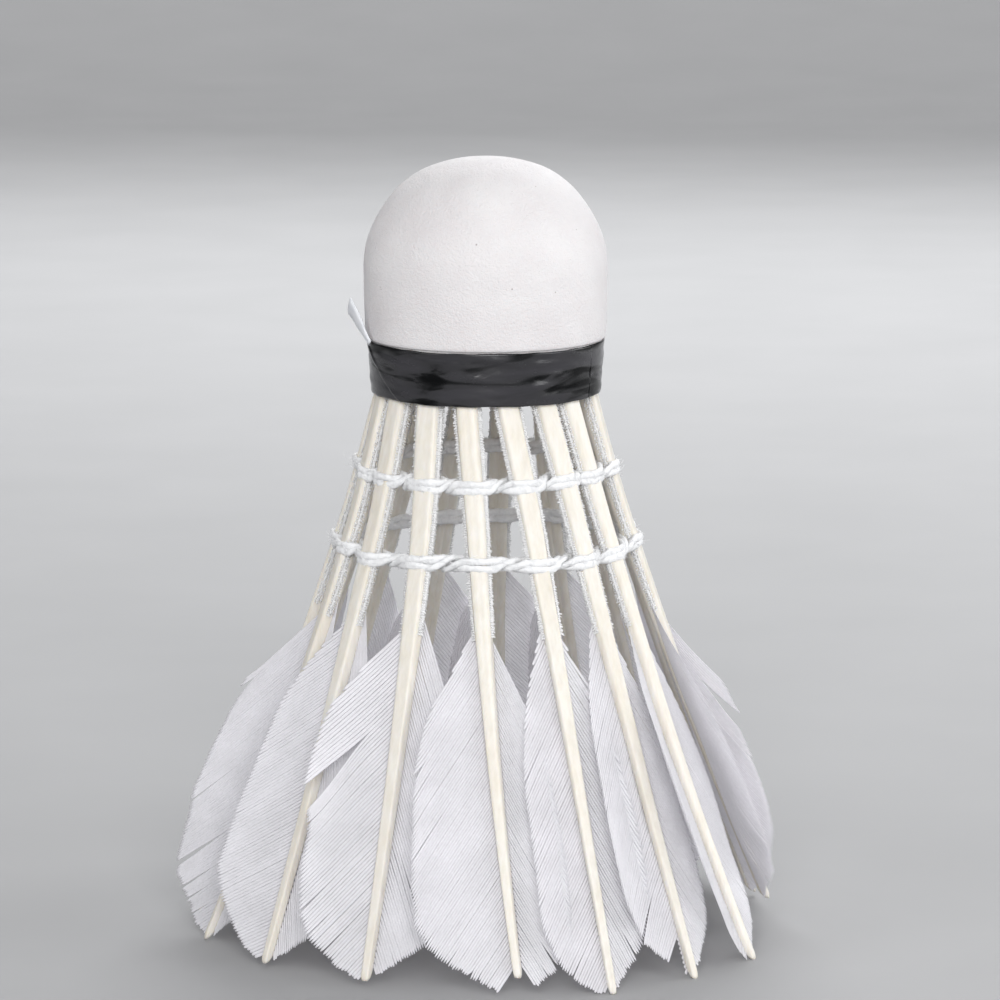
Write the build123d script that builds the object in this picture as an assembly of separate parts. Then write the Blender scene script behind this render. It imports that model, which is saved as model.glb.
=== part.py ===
from build123d import *
import os
from collections import namedtuple
from math import sin, cos, radians, atan2

# Feather shuttlecock standing on its feather tips, nose up, in millimetres.
# Z is the axis of the skirt. Azimuth 0 faces -Y and grows towards +X.
# Heights are measured from the mean plane of the feather tips; on export
# every part is raised so that the lowest tips stand on z = 0.

os.makedirs("parts", exist_ok=True)

# ---------------------------------------------------------------- feathers
# Azimuth in degrees, linear and quadratic sideways lean of the shaft, height
# of the tip, flare of the left web in degrees, width factors of the two webs
# (None where a web has its own outline), extra outward spread at the tip.
# Left is the side of smaller azimuth.
Feather = namedtuple(
    "Feather",
    "number azimuth lean lean_bend tip_z flare left_width right_width spread",
    defaults=[0.0],
)
FEATHER_ROWS = [
    (-71.6, 2.65, -3.66, -0.35, 25, None, 1.00),
    (-52.1, 0.41, 1.79, 0.25, 25, None, 1.02),
    (-30.4, 3.81, -0.05, 0.50, 25, None, 1.02),
    (-8.8, 4.47, 3.98, 1.60, 25, None, None),
    (12.4, 8.12, -1.69, -0.55, 25, None, None, 0.6),
    (34.2, 7.32, -2.61, -0.60, 25, None, None, 0.5),
    (52.3, 5.15, -0.73, -0.60, 37, None, None, 0.9),
    (80.0, 4.50, 0.00, 2.10, 31, None, 0.96),
    (102.6, 4.20, -0.40, -0.20, 28, None, 1.00),
    (125.2, 4.60, 0.30, 0.10, 25, 0.98, 0.98),
    (147.4, 3.90, 0.00, -0.60, 24, 1.03, 1.00),
    (170.3, 4.40, -0.60, -0.10, 26, 1.00, 0.97),
    (192.4, 4.00, 0.20, -0.45, 25, 0.97, 1.00),
    (215.3, 4.70, -0.30, 0.10, 26, 1.02, 1.00),
    (237.6, 3.80, 0.00, -0.60, 24, 1.00, 0.98),
    (262.0, 3.40, -1.20, -0.20, 25, 1.02, 1.00),
]
FEATHERS = [Feather(number, *row) for number, row in enumerate(FEATHER_ROWS, 1)]
RAISE = -min(feather.tip_z for feather in FEATHERS)


# ---------------------------------------------------------- boolean helpers
def solids_of(result):
    """Solids of a boolean result, which may be one shape or a list."""
    shapes = result if isinstance(result, (list, tuple)) else [result]
    return [solid for shape in shapes for solid in shape.solids()]


def cut(bodies, *tools):
    """Cut every body with all the tools, giving a plain list of solids."""
    return [solid for body in bodies for solid in solids_of(body.cut(*tools))]


# ----------------------------------------------------------- shaft geometry
SHAFT_R0, SHAFT_SLOPE, SHAFT_BOW = 31.02, -0.4088, 0.0009   # radius against height
BEND_Z0, BEND_Z1 = 44, 60       # the shaft bends a little between these heights
BEND_OUT, BEND_SIDE = 0.5, 0.42
SPREAD_TOP_Z = 30.0             # the extra spread starts below this
LEAN_TOP_Z = 60.0               # the lean grows downwards from here

# (height, half width of the shaft)
HALF_WIDTHS = [(-2, 0.42), (0, 0.45), (10, 0.59), (20, 0.71), (30, 0.86), (36, 0.98),
               (42, 1.08), (50, 1.22), (58, 1.29), (62, 1.25), (68.5, 0.92)]

# Distance from the centreline to the shaft's outer face
PROUD_AT_0, PROUD_GAIN = 0.55, 0.60
PROUD_PEAK_Z = 58.0
PROUD_TAPER = 0.045             # lost per millimetre above the peak
INNER_DEPTH = 0.80              # inner depth as a share of the outer one

# Shaft section: (sideways, outward) as shares of the half width and the depth
SECTION = [(0.0, 1.0), (0.72, 0.86), (1.0, 0.10), (0.74, -0.76), (0.0, -0.95),
           (-0.74, -0.76), (-1.0, 0.10), (-0.72, 0.86)]


def bend(z):
    """Smooth step from 0 at BEND_Z0 to 1 at BEND_Z1."""
    share = min(1.0, max(0.0, (z - BEND_Z0) / (BEND_Z1 - BEND_Z0)))
    return share * share * (3 - 2 * share)


def shaft_radius(z, spread=0.0):
    """Distance of the shaft centreline from the axis, before its lean."""
    radius = SHAFT_R0 + SHAFT_SLOPE * z + SHAFT_BOW * z * z + BEND_OUT * bend(z)
    return radius + spread * max(0.0, 1 - z / SPREAD_TOP_Z) ** 2


def shaft_lean(feather, z):
    """Sideways shift of the shaft centreline."""
    drop = (LEAN_TOP_Z - z) / LEAN_TOP_Z
    return feather.lean * drop + feather.lean_bend * drop * drop - BEND_SIDE * bend(z)


def outward_of(feather):
    angle = radians(feather.azimuth)
    return Vector(sin(angle), -cos(angle), 0)


def shaft_point(feather, z, outward, sideways):
    """Point offset from the shaft centreline; sideways is towards the right."""
    angle = radians(feather.azimuth)
    out_x, out_y = sin(angle), -cos(angle)
    side_x, side_y = cos(angle), sin(angle)
    radius, lean = shaft_radius(z, feather.spread), shaft_lean(feather, z)
    return Vector(radius * out_x + lean * side_x + out_x * outward + side_x * sideways,
                  radius * out_y + lean * side_y + out_y * outward + side_y * sideways,
                  z)


def half_width(z):
    for (z0, width0), (z1, width1) in zip(HALF_WIDTHS, HALF_WIDTHS[1:]):
        if z <= z1:
            return width0 + (width1 - width0) * (z - z0) / (z1 - z0)
    return HALF_WIDTHS[-1][1]


def proud(z):
    if z <= PROUD_PEAK_Z:
        return PROUD_AT_0 + PROUD_GAIN * z / PROUD_PEAK_Z
    return PROUD_AT_0 + PROUD_GAIN - PROUD_TAPER * (z - PROUD_PEAK_Z)


def shaft_section(feather, z, grow):
    width = half_width(z) + grow
    outer_depth = proud(z) + grow
    inner_depth = INNER_DEPTH * proud(z) + grow
    points = [
        shaft_point(feather, z, out * (outer_depth if out > 0 else inner_depth), side * width)
        for side, out in SECTION
    ]
    return Wire([Edge.make_spline(points, periodic=True)])


def shaft(feather, heights, grow=0.0, ruled=False):
    """Shaft lofted through the heights, its section enlarged by grow."""
    return Solid.make_loft([shaft_section(feather, z, grow) for z in heights], ruled=ruled)


# ----------------------------------------------------- cork, cover and tape
NOSE_Z = 83.1                   # top of the rounded nose
GRIP_R = 13.0                   # straight part of the covered cork
GRIP_Z0, GRIP_Z1 = 68.3, 71.8
COVER_T = 0.30                  # skin glued over the cork
COVER_EDGE_Z = 60.4             # lower edge of the skin, under the tape
COVER_EDGE_OUT = 0.16           # the skin's edge outside the tape's lower inner radius
CORK_FACE_Z = 59.0              # flat face where the quills enter
CORK_R = GRIP_R - COVER_T

TAPE_TOP_Z, TAPE_BOT_Z = 63.66, 57.99
TAPE_TOP_R, TAPE_BOT_R = 12.70, 12.32
TAPE_T = 0.20
TAPE_TOP_INNER_R = TAPE_TOP_R - TAPE_T
TAPE_BOT_INNER_R = TAPE_BOT_R - TAPE_T
COVER_EDGE_R = TAPE_BOT_INNER_R + COVER_EDGE_OUT
NECK_Z = TAPE_TOP_Z - 0.05      # the neck curve starts just under the tape's top

# Profiles as (radius, height). Foot: straight corners from the axis outwards;
# neck: curve up to the grip; dome: curve over the nose to the axis.
COVER_FOOT = [(0, COVER_EDGE_Z), (COVER_EDGE_R, COVER_EDGE_Z), (TAPE_TOP_INNER_R, NECK_Z)]
COVER_NECK = [(12.86, 64.25), (12.93, 65.6), (GRIP_R, GRIP_Z0)]
COVER_DOME = [(GRIP_R, GRIP_Z1), (12.72, 73.9), (11.95, 76.0), (10.65, 78.2),
              (8.95, 80.15), (6.55, 81.75), (3.3, 82.75), (0.0, NOSE_Z)]
CORK_FOOT = [
    (0, CORK_FACE_Z),
    (TAPE_BOT_INNER_R - 0.42, CORK_FACE_Z),
    (TAPE_BOT_INNER_R - 0.02, CORK_FACE_Z + 0.4),
    (TAPE_BOT_INNER_R + 0.02, COVER_EDGE_Z - 0.02),
    (COVER_EDGE_R - COVER_T, COVER_EDGE_Z),
    (TAPE_TOP_INNER_R - COVER_T, NECK_Z),
]
CORK_NECK = [(12.55, 64.35), (12.63, 65.6), (CORK_R, GRIP_Z0)]
CORK_DOME = [(CORK_R, GRIP_Z1), (12.43, 73.8), (11.68, 75.85), (10.42, 77.98),
             (8.76, 79.88), (6.42, 81.45), (3.25, 82.44), (0.0, NOSE_Z - COVER_T)]

LAP_T = 0.11                    # the lap stands this far outside the tape
LAP_SINK = 0.02                 # overlap into the tape and inset from its edges
# (x, z) corners of the region that keeps the lap, its first side slanted
LAP_REGION = [(-5.2, 56.5), (-12.4, 65.5), (-20, 65.5), (-20, 56.5)]
LAP_REGION_Y, LAP_REGION_DEPTH = -1, 20

TAB_W = 2.8
TAB_SHIFT = (0.16, -0.05)       # from the tab's cork side to its outer side
# (distance from the axis, height) along the tab's cork side
TAB_PATH = [(12.86, 63.0), (12.92, 63.8), (13.22, 64.9), (13.58, 66.1),
            (13.98, 67.3), (14.25, 67.9)]


def turned_body(foot, neck, dome):
    with BuildPart() as body:
        with BuildSketch(Plane.XZ):
            with BuildLine():
                for start, end in zip(foot, foot[1:]):
                    Line(start, end)
                Spline(foot[-1], *neck, tangents=[(0.9, 0.4), (0, 1)])
                Line(neck[-1], dome[0])
                Spline(*dome, tangents=[(0, 1), (-1, 0)])
                Line(dome[-1], foot[0])
            make_face()
        revolve(axis=Axis.Z)
    return body.part.solids()[0]


def turned_polygon(*corners):
    with BuildPart() as body:
        with BuildSketch(Plane.XZ):
            Polygon(*corners, align=None)
        revolve(axis=Axis.Z)
    return body.part.solids()[0]


def make_tape(cork, covered_cork):
    """Conical band over the cork rim, with a lap that has a slanted end."""
    band = turned_polygon((TAPE_BOT_INNER_R, TAPE_BOT_Z), (TAPE_BOT_R, TAPE_BOT_Z),
                          (TAPE_TOP_R, TAPE_TOP_Z), (TAPE_TOP_INNER_R, TAPE_TOP_Z))
    band = cut([band], cork, covered_cork)[0]
    lap = turned_polygon((TAPE_BOT_R - LAP_SINK, TAPE_BOT_Z + LAP_SINK),
                         (TAPE_BOT_R + LAP_T, TAPE_BOT_Z + LAP_SINK),
                         (TAPE_TOP_R + LAP_T, TAPE_TOP_Z - LAP_SINK),
                         (TAPE_TOP_R - LAP_SINK, TAPE_TOP_Z - LAP_SINK))
    corners = [Vector(x, LAP_REGION_Y, z) for x, z in LAP_REGION]
    region = Solid.extrude(Face(Wire.make_polygon(corners, close=True)),
                           Vector(0, -LAP_REGION_DEPTH, 0))
    return solids_of(band.fuse(*solids_of(lap.intersect(region))))


def make_tape_tab():
    """Loose end of the tape, standing away from the cork on the -X side."""
    cork_side = [(-x, z) for x, z in TAB_PATH]
    outer_side = [(-(x + TAB_SHIFT[0]), z + TAB_SHIFT[1]) for x, z in TAB_PATH]
    with BuildPart() as tab:
        with BuildSketch(Plane.XZ.offset(TAB_W / 2)):
            with BuildLine():
                Spline(*cork_side)
                Line(cork_side[-1], outer_side[-1])
                Spline(*reversed(outer_side))
                Line(outer_side[0], cork_side[0])
            make_face()
        extrude(amount=-TAB_W)
    return tab.part.solids()


# ------------------------------------------------------- quills and sockets
SOCKET_END_Z = 68.0             # how far up the quills reach inside the cork
SOCKET_MID_Z = 63.2
QUILL_HEIGHTS = [SOCKET_END_Z, 61, 53, 44, 34, 23, 12]
QUILL_END_GAP = 2               # least height between the tip and the next section
GLUE_T = 0.14                   # socket wall outside the quill
GLUE_BORE_GAP = 0.03            # bore of the glue outside the quill


def make_quill(feather):
    heights = [z for z in QUILL_HEIGHTS if z > feather.tip_z + QUILL_END_GAP]
    return shaft(feather, heights + [feather.tip_z])


def make_socket(feather):
    heights = [SOCKET_END_Z + 0.15, SOCKET_MID_Z, CORK_FACE_Z - 0.55]
    return shaft(feather, heights, GLUE_T, ruled=True)


def make_glue(feather, socket):
    """Film between the socket wall and the quill, closed at its top."""
    heights = [SOCKET_END_Z + 0.05, SOCKET_MID_Z, CORK_FACE_Z - 0.75]
    return cut([socket], shaft(feather, heights, GLUE_BORE_GAP, ruled=True))


# ------------------------------------------------------------------ threads
UPPER_THREAD_Z, UPPER_THREAD_R = 49.85, 14.375   # centre height, outer radius
LOWER_THREAD_Z, LOWER_THREAD_R = 41.78, 16.89
THREAD_HALF_H = 1.46 / 2        # half height of the bound cord
THREAD_T = 0.70                 # cord around each shaft
THREAD_RING_INSET = 0.72        # from the outer radius to the ring's centre
THREAD_RING_R = 0.5
THREAD_HOLE_GAP = 0.012
THREAD_HOLE_OVERRUN = 0.3
THREAD_MIN_VOLUME = 1.0         # smaller fragments are dropped


def make_thread(z, outer_radius):
    """Ring of cord with a collar around every shaft."""
    ring = Solid.make_torus(outer_radius - THREAD_RING_INSET, THREAD_RING_R, Plane((0, 0, z)))

    def collars(half_height, grow):
        return [shaft(feather, [z + half_height, z - half_height], grow, ruled=True)
                for feather in FEATHERS]

    bound = ring.fuse(*collars(THREAD_HALF_H, THREAD_T))
    holes = collars(THREAD_HALF_H + THREAD_HOLE_OVERRUN, THREAD_HOLE_GAP)
    return [body for body in cut(solids_of(bound), *holes) if body.volume > THREAD_MIN_VOLUME]


# -------------------------------------------------------------------- webs
LEFT, RIGHT = -1, 1             # sign of the sideways direction
WEB_T = 0.24
WEB_SINK, WEB_SINK_SHARE = 0.18, 0.12   # root inside the centreline: fixed, share of proud
WEB_STEPS = 12                  # steps along the curved width
FLARE_START, FLARE_END = 0.55, 1.45     # share of the flare at the root and the edge
FLARE_WIDTH = 10.0              # width over which the flare grows
RIGHT_LEAN_SHARE, RIGHT_TILT = 0.9, 1.0  # inward turn of the right web: share, degrees
WEB_MIN_WIDTH = 0.35
WEB_MIN_VOLUME = 0.5            # smaller fragments are dropped
TIP_BLEND_Z = 6.6               # the tip height shifts a shared outline below this

# Outlines are (height, width from the shaft centreline), top to tip.
LEFT_OUTLINE = [
    (35.2, 1.3), (33.5, 2.7), (31.5, 4.3), (29.5, 5.7), (27, 7.2), (25, 8.2), (22, 9.0),
    (19, 9.5), (15.5, 9.65), (12, 9.6), (9, 9.2), (6.5, 8.2), (4.3, 6.5), (2.7, 4.7),
    (1.2, 2.8), (0.3, 1.4)]
RIGHT_OUTLINE = [
    (36.2, 1.4), (34, 2.3), (30.4, 3.8), (27.4, 4.7), (23.9, 5.4), (19.8, 5.9), (16, 6.25),
    (12, 6.3), (8, 6.25), (4.8, 5.8), (3.3, 4.7), (2.0, 3.2), (0.9, 1.9), (0.3, 1.3)]

# Outlines of single webs, by feather number
OWN_LEFT = {
    1: [(34.6, 2.0), (32.6, 4.5), (30.2, 6.9), (27.6, 8.3), (25.2, 8.8), (22, 9.1), (18, 9.3),
        (14, 9.3), (10.5, 9.0), (7.4, 8.5), (5, 7.6), (3, 6.2), (1.2, 4.2)],
    2: [(35.2, 1.3), (33.5, 2.6), (31.5, 4.2), (29.5, 5.5), (27, 6.8), (25, 7.5), (22, 8.1),
        (19, 8.6), (15.5, 9.15), (12, 9.5), (9, 9.5), (6.5, 8.65), (4.4, 7.0), (2.8, 5.5),
        (1.3, 3.4), (0.5, 1.9)],
    3: [(35, 1.6), (33.5, 3.1), (31.5, 4.6), (29.5, 6.15), (27, 7.9), (25, 8.7), (22, 9.3),
        (19, 9.4), (15.5, 9.0), (12, 9.0), (9, 8.7), (6.5, 8.1), (4.5, 7.0), (2.9, 5.2),
        (1.3, 2.7)],
    4: [(34.6, 1.7), (32.5, 2.8), (30.4, 4.2), (28, 6.1), (25.5, 7.4), (22.5, 8.4), (19, 9.25),
        (15, 9.75), (11, 10.2), (8.2, 10.3), (6.3, 9.9), (4.6, 8.8), (3.2, 7.0), (2.0, 4.6),
        (1.5, 2.2)],
    5: [(35, 1.5), (33.5, 2.3), (31.5, 3.3), (29.5, 4.4), (27, 5.45), (25, 6.15), (22, 6.95),
        (19, 7.5), (15.5, 7.6), (12, 7.75), (9, 8.1), (6.5, 8.0), (4.2, 7.1), (2.4, 5.8),
        (0.8, 3.6), (-0.2, 1.7)],
    6: [(35.2, 1.3), (33.5, 2.3), (31.5, 3.2), (29.5, 4.4), (27, 5.6), (25, 6.3), (22, 7.0),
        (19, 7.6), (15.5, 8.4), (12, 8.8), (9, 8.8), (6.5, 8.0), (4.4, 6.7), (2.8, 4.9),
        (1.5, 3.2)],
    7: [(35, 1.4), (33.5, 1.7), (31.5, 2.6), (29.5, 4.2), (27, 5.9), (25, 7.0), (22, 8.0),
        (19, 8.6), (15.5, 8.9), (12, 8.9), (9, 8.6), (6.5, 7.4), (4.3, 5.4), (2.6, 3.8),
        (1.0, 2.5), (0.1, 1.3)],
    8: [(35.2, 1.3), (33.5, 2.75), (31.5, 4.4), (29.5, 5.8), (27, 7.3), (25, 8.3), (22, 9.1),
        (19, 9.6), (15.5, 9.8), (12, 9.7), (9.2, 9.2), (7, 8.2), (5.2, 6.4), (3.6, 3.9),
        (2.9, 2.4)],
    9: [(35, 1.6), (32.5, 4.0), (30, 6.4), (27, 8.4), (24, 9.5), (20.5, 10.0), (16.5, 10.1),
        (12.5, 9.7), (9, 8.9), (6, 7.4), (3.6, 5.3), (1.6, 3.0)],
}
OWN_RIGHT = {
    4: [(34.3, 1.4), (32.6, 1.9), (30.4, 2.6), (28.4, 3.5), (26, 4.4), (23.9, 5.0), (19.8, 5.7),
        (16, 6.1), (12, 6.3), (8, 6.25), (5.2, 5.8), (3.6, 4.8), (2.4, 3.4), (1.7, 1.8)],
    5: [(34.3, 1.4), (32.4, 1.8), (30.6, 2.4), (29, 3.1), (27.4, 3.9), (23.9, 4.9), (19.8, 5.6),
        (16, 6.0), (12, 6.1), (8, 5.9), (4.6, 4.9), (3.1, 3.7), (1.6, 2.5), (0.2, 1.3)],
    6: [(35, 1.4), (33.6, 1.7), (32, 2.1), (30.4, 2.7), (27.4, 3.8), (23.9, 4.75), (19.8, 5.2),
        (16, 5.5), (12, 5.55), (8, 5.5), (4.9, 5.1), (3.3, 4.2), (1.8, 2.9), (0.4, 1.5)],
    7: [(35.6, 1.4), (33.8, 2.0), (30.4, 3.3), (27.4, 4.4), (23.9, 5.4), (19.8, 6.1), (16, 6.2),
        (12, 5.9), (8, 5.5), (4.4, 5.0), (3.1, 4.2), (1.8, 3.1), (0.6, 1.9), (-0.1, 1.2)],
}

# Splits between barbs of left webs, by feather number: (height, width) corners
SPLITS = {
    1: [(25.5, 8.0), (25.6, 13.0), (23.6, 13.0)],
    3: [(21.6, 4.4), (19.2, 11.5), (16.6, 11.2)],
    4: [(22.9, 7.4), (23.0, 12.0), (21.4, 12.0)],
    6: [(8.0, 3.4), (4.6, 9.9), (3.2, 9.3)],
}
SPLIT_START, SPLIT_DEPTH = 3.0, 7.0   # cutter start inside the web, its length outwards

# Fringe section: (distance from the shaft's side, outward offset)
FRINGE_SECTION = [(0.01, 0.02), (0.36, 0.0), (0.36, -0.16), (0.01, -0.16)]
THREAD_CLEAR = THREAD_HALF_H + 0.08
FRINGE_SPANS = [(57.2, UPPER_THREAD_Z + THREAD_CLEAR),
                (UPPER_THREAD_Z - THREAD_CLEAR, LOWER_THREAD_Z + THREAD_CLEAR),
                (LOWER_THREAD_Z - THREAD_CLEAR, 36.6)]


def web_point(feather, z, width, side):
    """Point of the web at a distance from the centreline, along its curve."""
    if side == RIGHT:
        # the right web lies nearly along the local circle
        turn = RIGHT_LEAN_SHARE * atan2(shaft_lean(feather, z), shaft_radius(z))
        start = end = -turn - radians(RIGHT_TILT)
    else:
        start = radians(feather.flare * FLARE_START)
        end = radians(feather.flare * FLARE_END)
    outward = sideways = 0.0
    for k in range(WEB_STEPS):
        along = (k + 0.5) / WEB_STEPS * width
        angle = start + (end - start) * min(along / FLARE_WIDTH, 1.0)
        outward += sin(angle) * width / WEB_STEPS
        sideways += cos(angle) * width / WEB_STEPS
    outward -= WEB_SINK + WEB_SINK_SHARE * proud(z)
    return shaft_point(feather, z, outward, sideways * side)


def web_outline(feather, side):
    if side == LEFT:
        own, shared, factor = OWN_LEFT, LEFT_OUTLINE, feather.left_width
    else:
        own, shared, factor = OWN_RIGHT, RIGHT_OUTLINE, feather.right_width
    if feather.number in own:
        return own[feather.number]
    return [(z + feather.tip_z * max(0.0, 1 - z / TIP_BLEND_Z), width * factor)
            for z, width in shared]


def make_web(feather, side):
    rows = []
    for z, width in web_outline(feather, side):
        root = 0.965 * half_width(z) + 0.02   # where the web meets the shaft
        edge = max(root + WEB_MIN_WIDTH, width)
        rows.append([web_point(feather, z, root + (edge - root) * share, side)
                     for share in (0.0, 0.33, 0.67, 1.0)])
    face = Face.make_surface_from_array_of_points(rows, tol=0.02, min_deg=2, max_deg=4)
    body = Solid.thicken(face, WEB_T)
    if body.volume < 0:
        body = Solid.thicken(face, -WEB_T)
    return body


def split_cutter(feather):
    outward = outward_of(feather)
    corners = [web_point(feather, z, width, LEFT) - outward * SPLIT_START
               for z, width in SPLITS[feather.number]]
    return Solid.extrude(Face(Wire.make_polygon(corners, close=True)), outward * SPLIT_DEPTH)


def make_fringe(feather, side, span):
    """Narrow strip of trimmed barb stubs beside the bare shaft."""
    wires = [
        Wire.make_polygon([shaft_point(feather, z, out, (half_width(z) + gap) * side)
                           for gap, out in FRINGE_SECTION], close=True)
        for z in span
    ]
    return Solid.make_loft(wires, ruled=True)


def make_vane(feather):
    """Both webs of a feather and the fringes above them."""
    pieces = []
    for side in (LEFT, RIGHT):
        web = [make_web(feather, side)]
        if side == LEFT and feather.number in SPLITS:
            web = cut(web, split_cutter(feather))
        pieces += [body for body in web if body.volume > WEB_MIN_VOLUME]
        pieces += [make_fringe(feather, side, span) for span in FRINGE_SPANS]
    return pieces


# ------------------------------------------------------------------- export
def save(name, solids):
    raised = [solid.moved(Location((0, 0, RAISE))) for solid in solids]
    shape = raised[0] if len(raised) == 1 else Compound(children=raised)
    export_step(shape, f"parts/{name}.step")


covered_cork = turned_body(COVER_FOOT, COVER_NECK, COVER_DOME)
cork = turned_body(CORK_FOOT, CORK_NECK, CORK_DOME)
sockets = [make_socket(feather) for feather in FEATHERS]
glue = []
for feather, socket in zip(FEATHERS, sockets):
    glue += make_glue(feather, socket)

save("cork_core", cut([cork], *sockets))
save("cork_cover", cut([covered_cork], cork))
save("tape_band", make_tape(cork, covered_cork))
save("tape_end_tab", make_tape_tab())
save("socket_glue", glue)
save("upper_thread", make_thread(UPPER_THREAD_Z, UPPER_THREAD_R))
save("lower_thread", make_thread(LOWER_THREAD_Z, LOWER_THREAD_R))
for feather in FEATHERS:
    save(f"quill_{feather.number:02d}", [make_quill(feather)])
    save(f"vane_{feather.number:02d}", make_vane(feather))
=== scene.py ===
# A feather shuttlecock standing on its feather tips, cork up, axis on +Z.
# Lengths are in millimetres, heights run from the mean tip plane, and azimuths
# run from -Y (the camera side) towards +X. Feathers are counted from 0 in the
# tables. "L" and "R" are the sides of a feather seen from outside the skirt.
from collections import namedtuple
from math import atan2, cos, hypot, pi, radians, sin
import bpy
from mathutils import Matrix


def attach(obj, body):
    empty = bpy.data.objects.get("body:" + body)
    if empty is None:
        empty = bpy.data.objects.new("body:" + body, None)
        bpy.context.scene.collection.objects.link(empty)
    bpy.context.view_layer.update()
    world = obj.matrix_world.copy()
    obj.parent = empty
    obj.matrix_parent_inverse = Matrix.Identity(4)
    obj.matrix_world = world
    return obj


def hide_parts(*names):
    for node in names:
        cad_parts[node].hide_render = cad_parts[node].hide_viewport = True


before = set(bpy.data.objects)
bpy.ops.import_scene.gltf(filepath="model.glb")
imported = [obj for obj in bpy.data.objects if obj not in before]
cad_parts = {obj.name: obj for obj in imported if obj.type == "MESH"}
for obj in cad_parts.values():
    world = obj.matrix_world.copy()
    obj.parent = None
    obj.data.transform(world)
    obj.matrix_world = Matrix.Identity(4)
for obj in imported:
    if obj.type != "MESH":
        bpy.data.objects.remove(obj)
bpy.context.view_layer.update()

from types import SimpleNamespace

import bpy
import numpy as np
from mathutils import Vector

# --------------------------------------------------------------- dimensions
MM = 0.001
RAISE = 0.6         # everything is lifted by this when its mesh is made
GROUND_Z = -RAISE
UP = np.array([0, 0, 1.0])

TAPE_TOP_Z, TAPE_BOTTOM_Z = 63.66, 57.99
TAPE_TOP_R, TAPE_BOTTOM_R = 12.70, 12.32
UPPER_THREAD_Z, LOWER_THREAD_Z = 49.85, 41.78
SHAFT_TOP_Z = 67.9
WEB_SINK = 0.18     # how far the webs lie inside the shaft centrelines

# azimuth (degrees), sideways lean (linear and square parts, mm at height 0),
# tip height, outward flare of the left web (degrees), left and right web width factors
Feather = namedtuple("Feather", "azimuth lean lean_square tip flare left_width right_width")
FEATHERS = [Feather(*row) for row in (
    (-71.6,  2.65, -3.66, -0.35, 25, 1.01, 1.00),
    (-52.1,  0.41,  1.79,  0.25, 25, 0.97, 1.02),
    (-30.4,  3.81, -0.05,  0.50, 25, 1.00, 1.02),
    ( -8.8,  4.47,  3.98,  1.60, 25, 1.01, 1.00),
    ( 12.4,  8.12, -1.69, -0.55, 25, 0.89, 1.00),
    ( 34.2,  7.32, -2.61, -0.60, 25, 0.96, 0.88),
    ( 52.3,  5.15, -0.73, -0.60, 37, 0.96, 0.84),
    ( 80.0,  4.50,  0.00,  2.10, 31, 1.02, 0.96),
    (102.6,  4.20, -0.40, -0.20, 28, 1.02, 1.00),
    (125.2,  4.60,  0.30,  0.10, 25, 0.98, 0.98),
    (147.4,  3.90,  0.00, -0.60, 24, 1.03, 1.00),
    (170.3,  4.40, -0.60, -0.10, 26, 1.00, 0.97),
    (192.4,  4.00,  0.20, -0.45, 25, 0.97, 1.00),
    (215.3,  4.70, -0.30,  0.10, 26, 1.02, 1.00),
    (237.6,  3.80,  0.00, -0.60, 24, 1.00, 0.98),
    (262.0,  3.40, -1.20, -0.20, 25, 1.02, 1.00),
)]
TIP_SPREAD = {4: 0.6, 5: 0.5, 6: 0.9}   # extra outward spread of single shafts at height 0
SHAFT_WIDTH = {1: 1.06, 2: 1.10, 3: 0.97, 4: 0.97}   # width factors of single shafts

# web outlines: (height, distance from the shaft), top to tip
OUTLINES = {
    "L": [(36.0, 0.9), (35.0, 1.3), (33.5, 2.7), (31.5, 4.3), (29.5, 5.7), (27, 7.2), (25, 8.2),
          (22, 9.0), (19, 9.5), (15.5, 9.65), (12, 9.6), (9, 9.3), (6.5, 8.4),
          (4.3, 6.6), (2.7, 4.7), (1.0, 2.5), (0.0, 0.8)],
    "R": [(37.0, 0.8), (36, 1.2), (34, 2.2), (30.4, 3.8), (27.4, 4.7), (23.9, 5.4), (19.8, 5.95),
          (16, 6.25), (12, 6.35), (8, 6.3), (4.5, 6.0), (3.3, 4.8), (2.2, 3.2), (0.6, 1.0), (0, 0.4)],
}
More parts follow.
